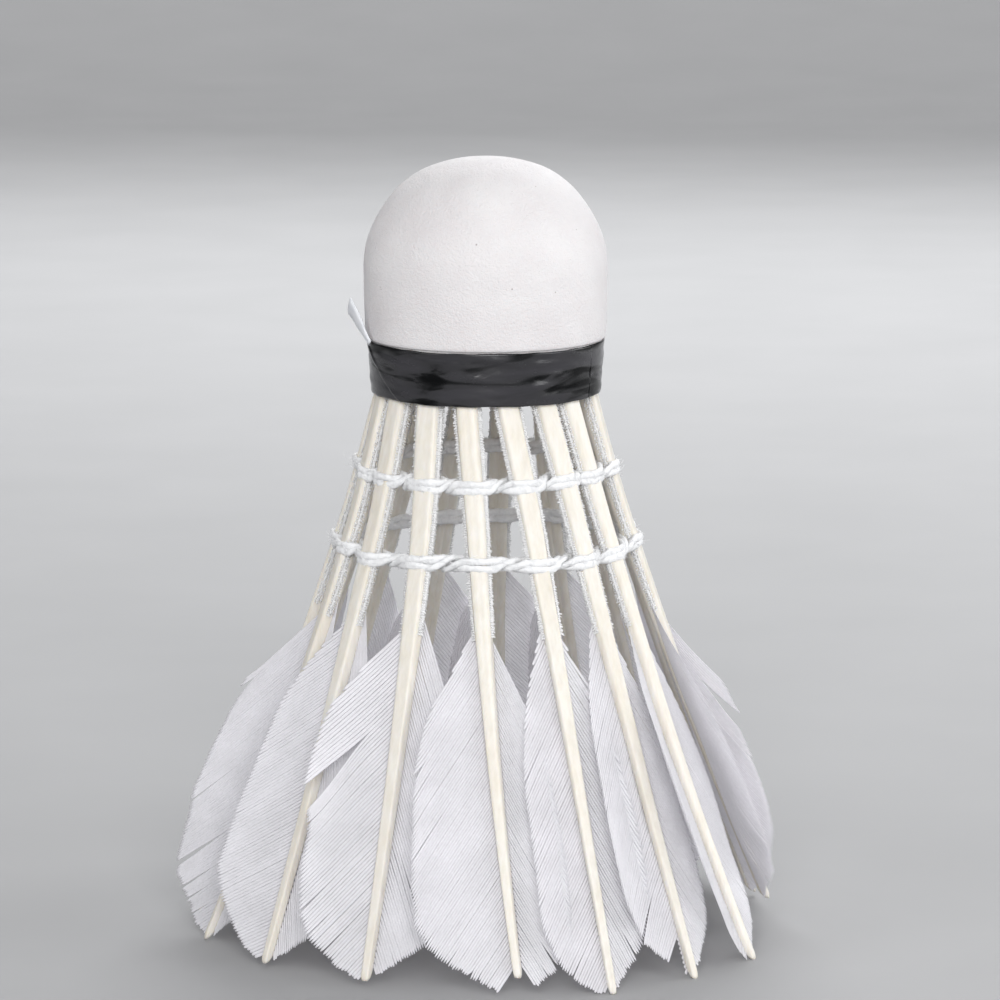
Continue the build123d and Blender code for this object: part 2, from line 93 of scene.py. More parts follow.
# outlines of single webs, same columns
OWN_OUTLINES = {
    (0, "L"): [(36, 0.9), (34.5, 2.2), (32.6, 4.5), (30.2, 7.3), (27.6, 9.2), (25.2, 9.8),
               (22, 10.5), (18, 11.1), (14, 11.3), (10.5, 10.7), (7.4, 10.0), (5, 9.0),
               (3, 6.7), (1.2, 4.8), (0.3, 3.2), (-0.35, 1.0)],
    (1, "L"): [(36, 0.9), (35.2, 1.3), (33.5, 2.6), (31.5, 4.2), (29.5, 5.5), (27, 6.8),
               (25, 7.5), (22, 8.1), (19, 8.6), (15.5, 9.15), (12, 9.5), (9, 9.55),
               (6.5, 8.65), (4.4, 7.0), (2.8, 5.5), (1.1, 3.4), (0.25, 1.6)],
    (2, "L"): [(36, 0.9), (35, 1.6), (33.5, 3.1), (31.5, 4.6), (29.5, 6.15), (27, 7.95),
               (25, 8.7), (22, 9.35), (19, 9.6), (17.5, 9.2), (15.5, 8.8), (12, 9.0),
               (9, 8.7), (6.5, 8.15), (4.5, 7.2), (3, 5.4), (1.4, 3.1), (0.5, 1.0)],
    (3, "L"): [(36, 0.9), (34.6, 1.7), (32.5, 2.8), (30.4, 4.2), (28, 6.1), (25.5, 7.4),
               (22.5, 8.4), (19, 9.25), (15, 9.75), (11, 10.25), (8.2, 10.4), (6.8, 10.5),
               (4.8, 9.1), (2.8, 7.0), (1.5, 4.9), (0.6, 3.4), (0.3, 2.4), (0.1, 0.6)],
    (3, "R"): [(35, 0.9), (33.8, 1.2), (32, 1.9), (30.4, 2.55), (28.5, 3.4), (27.4, 3.9),
               (23.9, 5.0), (19.8, 5.7), (16, 6.1), (12, 6.3), (8, 6.25), (5.1, 5.9),
               (3.5, 5.2), (2.3, 4.0), (1.5, 2.9), (0.4, 1.6), (-0.2, 0.7)],
    (4, "L"): [(36, 0.9), (35, 1.5), (33.5, 2.3), (31.5, 3.3), (29.5, 4.4), (27, 5.45),
               (25, 6.15), (22, 6.95), (19, 7.5), (15.5, 7.6), (12, 7.75), (9, 8.15),
               (6.5, 8.15), (4.1, 7.2), (2.4, 6.0), (0.5, 3.6), (-0.5, 1.6)],
    (4, "R"): [(35.2, 0.9), (33.6, 1.25), (31.8, 2.0), (30.4, 2.5), (29, 3.2), (27.4, 3.9),
               (23.9, 4.9), (19.8, 5.6), (16, 6.0), (12, 6.1), (8, 5.9), (4.3, 4.9),
               (3, 3.7), (1.8, 2.6), (0.1, 1.2), (-0.5, 0.6)],
    (5, "L"): [(36, 0.9), (35.2, 1.3), (33.5, 2.3), (31.5, 3.2), (29.5, 4.4), (27, 5.6),
               (25, 6.3), (22, 7.0), (19, 7.6), (15.5, 8.4), (12, 8.8), (9, 8.9),
               (6.5, 8.06), (4.6, 7.2), (4.0, 6.3), (2.8, 5.0), (1.5, 3.3), (0.8, 2.0),
               (-0.5, 0.8)],
    (5, "R"): [(35.8, 0.9), (34.6, 1.2), (32.5, 1.9), (30.4, 2.65), (27.4, 3.8), (23.9, 4.75),
               (19.8, 5.2), (16, 5.5), (12, 5.55), (8, 5.5), (4.9, 5.1), (3.3, 4.2),
               (2, 3.1), (0.7, 2.0), (-0.4, 0.9)],
    (6, "L"): [(36, 0.9), (35, 1.3), (33.5, 1.6), (31.5, 2.5), (29.5, 4.2), (27, 5.9),
               (25, 7.0), (22, 8.0), (19, 8.6), (15.5, 8.9), (12, 8.9), (9, 8.6),
               (6.5, 7.4), (4.1, 5.3), (2.3, 3.8), (0.5, 2.2), (-0.6, 0.9)],
    (6, "R"): [(37, 0.8), (36, 1.2), (34, 1.9), (30.4, 3.3), (27.4, 4.5), (23.9, 5.6),
               (19.8, 6.3), (16, 6.4), (12, 6.0), (8, 5.6), (4.3, 5.1), (3.0, 4.3),
               (1.8, 3.2), (0.3, 1.6), (-0.6, 0.7)],
    (7, "L"): [(36, 0.9), (35.2, 1.3), (33.5, 2.75), (31.5, 4.4), (29.5, 5.8), (27, 7.3),
               (25, 8.3), (22, 9.1), (19, 9.6), (15.5, 9.8), (12, 9.7), (9.2, 9.2),
               (7, 8.2), (5.2, 6.4), (3.6, 3.9), (2.3, 1.4)],
    (8, "L"): [(36, 0.9), (35, 1.6), (33.5, 3.5), (31.5, 5.5), (29.5, 7.0), (27, 8.5),
               (25, 9.3), (22, 9.7), (19, 9.7), (15.5, 9.8), (12, 9.5), (9, 8.9),
               (6.5, 7.6), (4.3, 6.0), (2.7, 4.4), (1, 2.5), (0, 0.8)],
}
# barbs: angle to the shaft at the top and at the tip (degrees), change of the
# angle outwards (rad/mm), spacing along the shaft
USUAL_BARBS = {"L": (40, 47, 0.003, 0.48), "R": (24, 29, 0.0, 0.58)}
OWN_BARBS = {
    (0, "L"): (46, 58, -0.008, 0.45), (1, "L"): (48, 62, 0.003, 0.40),
    (2, "L"): (43.5, 38.5, 0.006, 0.49), (3, "L"): (37, 41, 0.007, 0.40),
    (4, "L"): (38, 40, 0.008, 0.46), (5, "L"): (42, 52, 0.004, 0.46),
    (2, "R"): (26, 31, 0.0, 0.60), (3, "R"): (24, 30, 0.0, 0.54), (4, "R"): (27, 22, 0.0, 0.64),
}
# splits: root height, where along the barb the split opens (0 to 1), how far
# the barb ends above it lift and those below it drop
SPLITS = {
    (0, "L"): [(34.6, 0.80, 0.22, 0.40), (22.5, 0.60, 0.06, 0.08), (13.8, 0.30, 0.10, 0.42),
               (9.5, 0.45, 0.05, 0.22), (7.2, 0.5, 0.05, 0.25), (4.6, 0.5, 0.08, 0.22)],
    (1, "L"): [(20.0, 0.8, 0.04, 0.05), (12.0, 0.8, 0.04, 0.05)],
    (2, "L"): [(27.4, 0.30, 0.45, 1.55), (15.5, 0.55, 0.05, 0.06), (12.0, 0.6, 0.05, 0.05),
               (8.4, 0.5, 0.05, 0.06)],
    (3, "L"): [(30.8, 0.80, 0.16, 0.22), (29.0, 0.55, 0.05, 0.06), (24.0, 0.40, 0.05, 0.06),
               (7.2, 0.86, 0.25, 0.20)],
    (4, "L"): [(31.0, 0.7, 0.10, 0.14), (27.0, 0.75, 0.12, 0.10), (16.0, 0.7, 0.10, 0.10),
               (6.0, 0.5, 0.10, 0.10)],
    (4, "R"): [(33.4, 0.30, 0.20, 0.24), (32.2, 0.35, 0.12, 0.26), (9.0, 0.55, 0.15, 0.2)],
    (5, "L"): [(10.0, 0.30, 0.15, 0.62), (24.0, 0.8, 0.06, 0.08)],
    (2, "R"): [(19.0, 0.12, 0.12, 0.12), (15.0, 0.08, 0.16, 0.16), (6.5, 0.5, 0.12, 0.1)],
    (3, "R"): [(9.0, 0.55, 0.25, 0.30), (6.5, 0.6, 0.2, 0.25), (20.0, 0.6, 0.06, 0.07)],
    (8, "L"): [(32.2, 0.55, 0.45, 1.10)],
}
# frayed edges: mean shortening, and the heights between which it sets in
FRAYS = {
    (0, "L"): [(0.18, 12, 6), (0.12, 29, 33)],
    (3, "L"): [(0.16, 13, 9)],
    (3, "R"): [(0.30, 9, 4)],
    (4, "R"): [(0.25, 8, 3), (0.22, 28, 31)],
    (5, "R"): [(0.25, 8, 3)],
}


# ------------------------------------------------------------------- curves
def smooth(start, end, x):
    """Eased step from 0 at start to 1 at end; start may be the larger."""
    share = np.clip((np.asarray(x, float) - start) / (end - start), 0, 1)
    return share * share * (3 - 2 * share)


def wobble(count, scale, size, rng):
    """Smooth random curve of count samples; scale is the number of samples per bump."""
    knots = max(4, int(count / scale) + 4)
    values = rng.normal(0, size, knots)
    x = np.linspace(0, knots - 3.001, count)
    i = x.astype(int)
    share = x - i
    share = share * share * (3 - 2 * share)
    return values[i] * (1 - share) + values[i + 1] * share


def catmull(points, count, closed=True):
    """Catmull-Rom curve through the points."""
    points = np.asarray(points, float)
    size = len(points)
    x = np.linspace(0, size if closed else size - 1, count, endpoint=not closed)
    i = np.minimum(x.astype(int), size - 1)
    t = (x - i)[:, None]

    def pick(j):
        return points[j % size if closed else np.clip(j, 0, size - 1)]

    before, here, after, beyond = pick(i - 1), pick(i), pick(i + 1), pick(i + 2)
    return 0.5 * ((2 * here) + (-before + after) * t
                  + (2 * before - 5 * here + 4 * after - beyond) * t ** 2
                  + (-before + 3 * here - 3 * after + beyond) * t ** 3)


def unit(vectors, guard=0.0):
    return vectors / (np.linalg.norm(vectors, axis=-1, keepdims=True) + guard)


def polar(radius, azimuth, z):
    parts = np.broadcast_arrays(radius * np.sin(azimuth), -radius * np.cos(azimuth), z)
    return np.stack(parts, -1)


# --------------------------------------------------------- lie of the shafts
def directions(i):
    """Outward and sideways (left to right) unit vectors of a feather."""
    azimuth = radians(FEATHERS[i].azimuth)
    return (np.array([sin(azimuth), -cos(azimuth), 0.0]),
            np.array([cos(azimuth), sin(azimuth), 0.0]))


def shaft_lean(i, z):
    drop = (60.0 - z) / 60.0
    feather = FEATHERS[i]
    return feather.lean * drop + feather.lean_square * drop * drop - 0.42 * smooth(44, 60, z)


def shaft_radius(i, z):
    radius = 31.02 - 0.4088 * z + 0.0009 * z * z + 0.5 * smooth(44, 60, z)
    return radius + TIP_SPREAD.get(i, 0.0) * np.maximum(0.0, 1 - z / 30.0) ** 2


def shaft_line(i, z):
    """Shaft centreline points; z may be an array of any shape."""
    z = np.asarray(z, float)
    outward, sideways = directions(i)
    points = shaft_radius(i, z)[..., None] * outward + shaft_lean(i, z)[..., None] * sideways
    points[..., 2] = z
    return points


def half_width(z):
    return np.interp(z, [-2, 0, 10, 20, 30, 36, 42, 50, 58, 62, 68.5],
                     [0.42, 0.45, 0.59, 0.71, 0.86, 0.98, 1.08, 1.22, 1.29, 1.25, 0.92])


def half_depth(z):
    z = np.asarray(z, float)
    return np.where(z <= 58, 0.55 + 0.60 * np.minimum(z, 58) / 58, 1.15 - 0.045 * (z - 58))


# ------------------------------------------------------------- mesh helpers
# A mesh is passed around as (points, quads, triangles).
def make(name, mesh, material, node):
    """Build the object, hang it under the root body and hide the piece it replaces."""
    points, quads, triangles = mesh
    points = (points.reshape(-1, 3) + (0, 0, RAISE)).astype(np.float32) * MM
    quad_corners, corners = 4 * len(quads), 4 * len(quads) + 3 * len(triangles)
    data = bpy.data.meshes.new(name)
    data.vertices.add(len(points))
    data.vertices.foreach_set("co", points.ravel())
    data.loops.add(corners)
    data.loops.foreach_set("vertex_index",
                           np.r_[quads.ravel(), triangles.ravel()].astype(np.int32))
    faces = len(quads) + len(triangles)
    data.polygons.add(faces)
    starts = np.r_[np.arange(0, quad_corners, 4), np.arange(quad_corners, corners, 3)]
    data.polygons.foreach_set("loop_start", starts.astype(np.int32))
    data.polygons.foreach_set("use_smooth", np.full(faces, True))
    data.materials.append(material)
    data.update(calc_edges=True)
    data.validate()
    made = bpy.data.objects.new(name, data)
    bpy.context.scene.collection.objects.link(made)
    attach(made, "root")
    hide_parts(node)


def skin(near, far):
    """Quads between matching closed sections of point numbers."""
    corners = [near, np.roll(near, -1, -1), np.roll(far, -1, -1), far]
    return np.stack(corners, -1).reshape(-1, 4)


def tubes(points):
    """Capped tubes from points of shape (tubes, stations, section, 3)."""
    count, stations, section, _ = points.shape
    ids = np.arange(count * stations * section).reshape(count, stations, section)
    triangles = []
    for end, flip in ((0, True), (stations - 1, False)):
        for j in range(1, section - 1):
            fan = np.stack([ids[:, end, 0], ids[:, end, j], ids[:, end, j + 1]], -1)
            triangles.append(fan[:, ::-1] if flip else fan)
    return points.reshape(-1, 3), skin(ids[:, :-1], ids[:, 1:]), np.concatenate(triangles)


def ring_tube(points):
    """One tube closed along its length, from points of shape (stations, section, 3)."""
    stations, section, _ = points.shape
    ids = np.arange(stations * section).reshape(stations, section)
    return points.reshape(-1, 3), skin(ids, np.roll(ids, -1, 0)), np.zeros((0, 3), int)


def revolve(profile, segments, displace):
    """Solid of revolution of a closed (radius, height) loop, then displaced."""
    azimuth = np.linspace(0, 2 * pi, segments, endpoint=False)[:, None]
    radius = np.broadcast_to(profile[:, 0], (segments, len(profile)))
    z = np.broadcast_to(profile[:, 1], (segments, len(profile)))
    radius, z = displace(azimuth, radius, z)
    return ring_tube(polar(radius, azimuth, z))


def sweep(line, section, wide, high):
    """Carry a section of (across, up) points along lines of centres."""
    across, up = np.array(section, float).T[..., None]
    return line[..., None, :] + across * wide[..., None, :] + up * high[..., None, :]


def join(meshes):
    points, quads, triangles = [], [], []
    offset = 0
    for mesh in meshes:
        points.append(mesh[0])
        quads.append(mesh[1] + offset)
        triangles.append(mesh[2] + offset)
        offset += len(mesh[0])
    return np.concatenate(points), np.concatenate(quads), np.concatenate(triangles)


# ---------------------------------------------------------------- materials
class Shader:
    """A material whose node tree ends in one Principled surface."""

    def __init__(self, name):
        self.material = bpy.data.materials.new(name)
        self.material.use_nodes = True
        self.tree = self.material.node_tree
        self.tree.nodes.clear()
        self.output = self.add("OutputMaterial", {})
        self.surface = self.add("BsdfPrincipled", {})
        self.put(self.output, {0: self.surface.outputs[0]})

    def put(self, node, inputs):
        """Link the sockets and set the plain values among the inputs."""
        for key, value in inputs.items():
            if isinstance(value, bpy.types.NodeSocket):
                self.tree.links.new(value, node.inputs[key])
            else:
                node.inputs[key].default_value = value

    def add(self, kind, inputs):
        node = self.tree.nodes.new("ShaderNode" + kind)
        self.put(node, inputs)
        return node

    def finish(self, inputs):
        """Set the inputs of the Principled surface."""
        self.put(self.surface, inputs)

    def coords(self, scale=(1, 1, 1)):
        place = self.add("TexCoord", {}).outputs["Object"]
        return self.add("Mapping", {"Scale": scale, "Vector": place}).outputs[0]

    def noise(self, vector, scale, detail=3.0, roughness=0.5, distortion=0.0):
        return self.add("TexNoise", {"Scale": scale, "Detail": detail, "Roughness": roughness,
                                     "Distortion": distortion, "Vector": vector}).outputs[0]

    def cells(self, vector, scale):
        node = self.add("TexVoronoi", {"Scale": scale, "Vector": vector})
        return node.outputs["Distance"]

    def ramp(self, value, stops):
        """Colour ramp from (position, colour) stops."""
        node = self.add("ValToRGB", {})
        elements = node.color_ramp.elements
        while len(elements) > 1:
            elements.remove(elements[-1])
        elements[0].position, elements[0].color = stops[0][0], (*stops[0][1], 1)
        for position, colour in stops[1:]:
            elements.new(position).color = (*colour, 1)
        self.put(node, {0: value})
        return node.outputs[0]

    def remap(self, value, source, target):
        """Map the source range (low, high) onto the target range."""
        return self.add("MapRange", {"From Min": source[0], "From Max": source[1],
                                     "To Min": target[0], "To Max": target[1],
                                     "Value": value}).outputs[0]

    def math(self, operation, first, second):
        node = self.add("Math", {})
        node.operation = operation
        self.put(node, {0: first, 1: second})
        return node.outputs[0]

    def mix(self, blend, factor, first, second):
        node = self.add("Mix", {})
        node.data_type = "RGBA"
        node.blend_type = blend
        self.put(node, {"Factor": factor, "A": first, "B": second})
        return node.outputs["Result"]

    def bump(self, height, strength, distance):
        node = self.add("Bump", {"Strength": strength, "Distance": distance, "Height": height})
        self.finish({"Normal": node.outputs[0]})


def cover_material():
    shader = Shader("cork_cover_skin")
    vector = shader.coords()
    grain = shader.noise(vector, scale=2600, detail=4, roughness=0.62)
    cloud = shader.noise(vector, scale=160, detail=4, roughness=0.55)
    skin_colour = shader.ramp(cloud, [(0.30, (0.690, 0.662, 0.669)), (0.52, (0.722, 0.700, 0.706)),
                                      (0.75, (0.752, 0.735, 0.738))])
    pores = shader.cells(vector, scale=980)
    # only some of the cells carry a hole, where a slow noise allows it
    pick = shader.noise(vector, scale=640, detail=2)
    size = shader.remap(pick, source=(0.50, 0.72), target=(0.0, 0.105))
    hole = shader.math("LESS_THAN", pores, size)
    # painted shade: the base colour is darkened towards dark brown inside the pore holes
    colour = shader.mix("MIX", factor=shader.math("MULTIPLY", hole, 0.62),
                        first=skin_colour, second=(0.25, 0.20, 0.18, 1))
    shader.finish({
        "Base Color": colour,
        "Roughness": 0.62,      # holds only while nothing is linked here
        "Subsurface Weight": 0.12,
        "Subsurface Radius": (0.0012, 0.0009, 0.0008),
        "Specular IOR Level": 0.35,
    })
    shader.finish({"Roughness": shader.remap(grain, source=(0.3, 0.7), target=(0.5, 0.75))})
    fine = shader.noise(vector, scale=5200, detail=2)
    height = shader.math("ADD", shader.math("MULTIPLY", grain, 1.0),
                         shader.math("MULTIPLY", fine, 0.45))
    height = shader.math("SUBTRACT", height, shader.math("MULTIPLY", hole, 0.8))
    shader.bump(height, strength=0.60, distance=0.00018)
    return shader.material


def cork_material():
    shader = Shader("cork_grain")
    vector = shader.coords()
    cells = shader.cells(vector, scale=900)
    grain = shader.noise(vector, scale=420, detail=5, roughness=0.6)
    brown = shader.ramp(grain, [(0.25, (0.30, 0.17, 0.08)), (0.45, (0.52, 0.34, 0.19)),
                                (0.75, (0.66, 0.47, 0.29))])
    shade = shader.ramp(cells, [(0.0, (0.62, 0.62, 0.62)), (0.35, (1, 1, 1))])
    colour = shader.mix("MULTIPLY", factor=0.7, first=brown, second=shade)
    shader.finish({"Base Color": colour, "Roughness": 0.85})
    shader.bump(shader.math("ADD", grain, cells), strength=0.6, distance=0.0003)
    return shader.material


def tape_material():
    shader = Shader("black_gloss_tape")
    # long soft islands of painted reflection where the stretched film turns towards or off the light:
    # a lighter base colour and a higher specular level there
    islands = shader.noise(shader.coords((0.62, 0.62, 3.0)), scale=150, distortion=0.9)
    broad = shader.noise(shader.coords((1, 1, 0.5)), scale=110, detail=2, distortion=0.3)
    sheen = shader.math("ADD", shader.math("MULTIPLY", islands, 0.72),
                        shader.math("MULTIPLY", broad, 0.28))
    # painted reflection: the base colour runs from near black to dark grey in the islands
    painted_reflection_tint = shader.ramp(sheen, [
        (0.41, (0.0020, 0.0022, 0.0026)), (0.460, (0.0055, 0.0058, 0.0065)),
        (0.500, (0.0215, 0.0212, 0.0238)), (0.62, (0.031, 0.030, 0.035))])
    streaks = shader.noise(shader.coords((1, 1, 2.6)), scale=420)
    shader.finish({
        "Base Color": painted_reflection_tint,
        "Roughness": shader.remap(streaks, source=(0.35, 0.7), target=(0.16, 0.30)),
        "Specular IOR Level": shader.remap(sheen, source=(0.43, 0.50), target=(0.10, 0.50)),
        "Coat Weight": 0.05,
        "Coat Roughness": 0.14,
    })
    waves = shader.noise(shader.coords((1, 1, 2.2)), scale=230, distortion=0.4)
    height = shader.math("ADD", waves, shader.math("MULTIPLY", streaks, 0.12))
    shader.bump(height, strength=0.30, distance=0.00035)
    return shader.material


def tab_material():
    shader = Shader("tape_underside_white")
    grain = shader.noise(shader.coords(), scale=700)
    colour = shader.ramp(grain, [(0.3, (0.70, 0.72, 0.76)), (0.7, (0.84, 0.85, 0.88))])
    shader.finish({"Base Color": colour, "Roughness": 0.5})
    shader.bump(grain, strength=0.3, distance=0.0001)
    return shader.material


def glue_material():
    shader = Shader("hardened_glue")
    grain = shader.noise(shader.coords(), scale=900)
    shader.finish({
        "Base Color": shader.ramp(grain, [(0.3, (0.62, 0.54, 0.38)), (0.7, (0.78, 0.72, 0.56))]),
        "Roughness": shader.remap(grain, source=(0.3, 0.7), target=(0.2, 0.4)),
        "Subsurface Weight": 0.2,
        "Subsurface Radius": (0.001, 0.0007, 0.0004),
    })
    shader.bump(grain, strength=0.4, distance=0.0003)
    return shader.material


def shaft_material():
    shader = Shader("feather_shaft_ivory")
    streak = shader.noise(shader.coords((1, 1, 0.06)), scale=1500, detail=4, roughness=0.6)
    broad = shader.noise(shader.coords((1, 1, 0.25)), scale=220)
    ivory = shader.ramp(streak, [(0.28, (0.725, 0.688, 0.615)), (0.5, (0.775, 0.745, 0.685)),
                                 (0.74, (0.825, 0.805, 0.765))])
    warmth = shader.ramp(broad, [(0.3, (0.96, 0.94, 0.905)), (0.7, (1.0, 1.0, 1.0))])
    shader.finish({
        "Base Color": shader.mix("MULTIPLY", factor=1.0, first=ivory, second=warmth),
        "Roughness": shader.remap(streak, source=(0.3, 0.7), target=(0.32, 0.46)),
        "Subsurface Weight": 0.22,
        "Subsurface Radius": (0.0016, 0.0012, 0.0007),
        "Specular IOR Level": 0.38,
    })
    shader.bump(streak, strength=0.22, distance=0.00012)
    return shader.material


def web_material(name, white, translucency):
    shader = Shader(name)
    vector = shader.coords()
    cloud = shader.noise(vector, scale=240, detail=4, roughness=0.55)
    fine = shader.noise(vector, scale=3200, detail=2)
    darker = tuple(c * 0.95 for c in white)
    lighter = tuple(min(1, c * 1.05) for c in white)
    clouded = shader.ramp(cloud, [(0.30, darker), (0.52, white), (0.75, lighter)])
    speckle = shader.ramp(fine, [(0.3, (0.95, 0.95, 0.95)), (0.7, (1, 1, 1))])
    colour = shader.mix("MULTIPLY", factor=1.0, first=clouded, second=speckle)
    shader.finish({
        "Base Color": colour,
        "Roughness": shader.remap(fine, source=(0.3, 0.7), target=(0.42, 0.62)),
        "Specular IOR Level": 0.45,
        "Sheen Weight": 0.15,
        "Sheen Roughness": 0.4,
    })
    through = shader.add("BsdfTranslucent", {"Color": colour})
    blend = shader.add("MixShader", {0: translucency, 1: shader.surface.outputs[0],
                                     2: through.outputs[0]})
    shader.put(shader.output, {0: blend.outputs[0]})
    shader.bump(fine, strength=0.12, distance=0.00006)
    return shader.material


def thread_material():
    shader = Shader("bound_thread_white")
    grain = shader.noise(shader.coords(), scale=1900, roughness=0.6)
    colour = shader.ramp(grain, [(0.28, (0.74, 0.745, 0.76)), (0.5, (0.83, 0.835, 0.845)),
                                 (0.75, (0.89, 0.89, 0.90))])
    shader.finish({
        "Base Color": colour,
        "Roughness": shader.remap(grain, source=(0.3, 0.7), target=(0.45, 0.75)),
        "Sheen Weight": 0.3,
        "Subsurface Weight": 0.10,
        "Subsurface Radius": (0.0006, 0.0006, 0.0006),
    })
    shader.bump(grain, strength=0.6, distance=0.00012)
    return shader.material


MATERIALS = {
    "cover": cover_material(),
    "cork": cork_material(),
    "tape": tape_material(),
    "tab": tab_material(),
    "glue": glue_material(),
    "shaft": shaft_material(),
    "web": web_material("feather_web_white", white=(0.925, 0.916, 0.945), translucency=0.36),
    "stub": web_material("trimmed_barb_white", white=(0.90, 0.90, 0.905), translucency=0.15),
    "thread": thread_material(),
}


# --------------------------------------------------------------------- cork
def recolour_cad_piece(name, material):
    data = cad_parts[name].data
    data.materials.clear()
    data.materials.append(material)
    for face in data.polygons:
        face.material_index = 0


COVER_THICKNESS = 0.28
# outer profile of the cork cover: (radius, height), skirt to nose
COVER_PROFILE = [
    (12.28, 60.4), (12.38, 62.0), (12.48, 63.55), (12.80, 63.98), (12.90, 64.7), (12.95, 66.4),
    (13.0, 68.3), (13.0, 70.0),
    (13.0, 71.8), (12.72, 73.9), (11.95, 76.0), (10.65, 78.2), (8.95, 80.15), (6.55, 81.75),
    (3.3, 82.75), (0.02, 83.1)]


def cork_cover():
    outer = catmull(COVER_PROFILE, 190, closed=False)
    slope = np.gradient(outer, axis=0)
    normal = unit(np.stack([slope[:, 1], -slope[:, 0]], -1))
    normal[normal[:, 0] < 0] *= -1
    inner = outer - COVER_THICKNESS * np.stack([np.abs(normal[:, 0]), normal[:, 1]], -1)
    inner[:, 0] = np.maximum(inner[:, 0], 0.01)
    inner[:, 1] = np.minimum(inner[:, 1], 82.8)

    def unevenness(azimuth, radius, z):
        swell = (0.035 * np.sin(3 * azimuth + 0.16 * z + 1) + 0.025 * np.sin(5 * azimuth - 0.21 * z)
                 + 0.018 * np.sin(9 * azimuth + 0.4 * z + 2)
                 + 0.012 * np.sin(14 * azimuth - 0.55 * z))
        return radius + smooth(60, 66, z) * smooth(0.5, 5, radius) * swell, z

    mesh = revolve(np.concatenate([outer, inner[::-4]]), 300, unevenness)
    make("cork_cover_skin", mesh, MATERIALS["cover"], "cork_cover")


recolour_cad_piece("cork_core", MATERIALS["cork"])
recolour_cad_piece("socket_glue", MATERIALS["glue"])
cork_cover()


# --------------------------------------------------------------------- tape
def tape_radius(z):
    return np.interp(z, [TAPE_BOTTOM_Z, TAPE_TOP_Z], [TAPE_BOTTOM_R, TAPE_TOP_R])


def tape_wrinkle(azimuth, z):
    """Radial wrinkles of the stretched tape, fading at both edges."""
    wave = (0.030 * np.sin(2.1 * z + 3 * azimuth + 0.8 * np.sin(4 * azimuth))
            * (0.6 + 0.4 * np.sin(5 * azimuth + 1))
            + 0.022 * np.sin(3.4 * z - 5 * azimuth + 1.3 * np.sin(3 * azimuth + 2))
            + 0.014 * np.sin(5.3 * z + 8 * azimuth + np.sin(7 * azimuth))
            + 0.010 * np.sin(1.2 * z + 13 * azimuth))
    return (wave * smooth(TAPE_BOTTOM_Z - 0.1, TAPE_BOTTOM_Z + 0.9, z)
            * smooth(TAPE_TOP_Z + 0.1, TAPE_TOP_Z - 0.7, z))


def tape_height(azimuth, z):
    """Heights with the top and bottom edges made uneven."""
    edge = (0.05 * np.sin(6 * azimuth + 1) + 0.03 * np.sin(17 * azimuth)
            + 0.02 * np.sin(29 * azimuth + 2))
    return z + edge * (smooth(61, TAPE_TOP_Z, z) + smooth(60, TAPE_BOTTOM_Z, z)) * 0.6


def tape_turn():
    """The full turn of tape around the cork."""
    z = np.linspace(TAPE_BOTTOM_Z, TAPE_TOP_Z, 40)
    radius = tape_radius(z)
    outer = np.stack([radius, z], -1)
    outer[[0, -1], 0] -= 0.05
    inner = np.stack([radius[::-4] - 0.17, z[::-4]], -1)
    is_outer = np.r_[np.ones(len(outer)), np.zeros(len(inner))]

    def wrinkled(azimuth, radius, z):
        wrinkle = tape_wrinkle(azimuth, z)
        return radius + wrinkle * is_outer, tape_height(azimuth, z)

    mesh = revolve(np.concatenate([outer, inner]), 720, wrinkled)
    make("tape_band_turn", mesh, MATERIALS["tape"], "tape_band")


def tape_overlap():
    """The last turn, lying over the first; its end is cut on the slant."""
    heights = np.linspace(TAPE_BOTTOM_Z + 0.03, TAPE_TOP_Z - 0.02, 40)
    along = np.linspace(0, 1, 220)[:, None]
    start = np.radians(np.interp(heights, [TAPE_BOTTOM_Z, TAPE_TOP_Z], [-48.5, -83.0]))
    azimuth = start + (np.radians(62.0) - start) * along ** 1.25
    z = np.broadcast_to(heights, azimuth.shape)
    base = tape_radius(z)
    arc = (azimuth - start) * 12.5
    lift = 0.055 + 0.085 * smooth(0, 0.35, arc) * (1 - smooth(0.86, 1.0, along))
    ridge = 0.10 * np.exp(-((arc - 0.75) / 0.42) ** 2) * smooth(59.5, 62.5, z)
    wrinkle = tape_wrinkle(azimuth, z)
    ripple = 0.018 * np.sin(2.8 * z + 9 * azimuth) * smooth(0.5, 3, arc)
    edge_z = tape_height(azimuth, z)
    outer = polar(base + lift + ridge + wrinkle + ripple, azimuth, edge_z)
    inner = polar(base + wrinkle - 0.03, azimuth, edge_z)
    mesh = tubes(np.concatenate([outer, inner[:, ::-1]], 1)[None])
    make("tape_overlap", mesh, MATERIALS["tape"], "tape_band")


# section of the tape tab in half widths and half thicknesses
TAB_SECTION = [(-1, -1), (-0.6, -1.1), (0, -1.15), (0.6, -1.1), (1, -1), (1.04, 0),
               (1, 1), (0.6, 1.1), (0, 1.15), (-0.6, 1.1), (-1, 1), (-1.04, 0)]
TAB_HALF_THICKNESS = 0.085


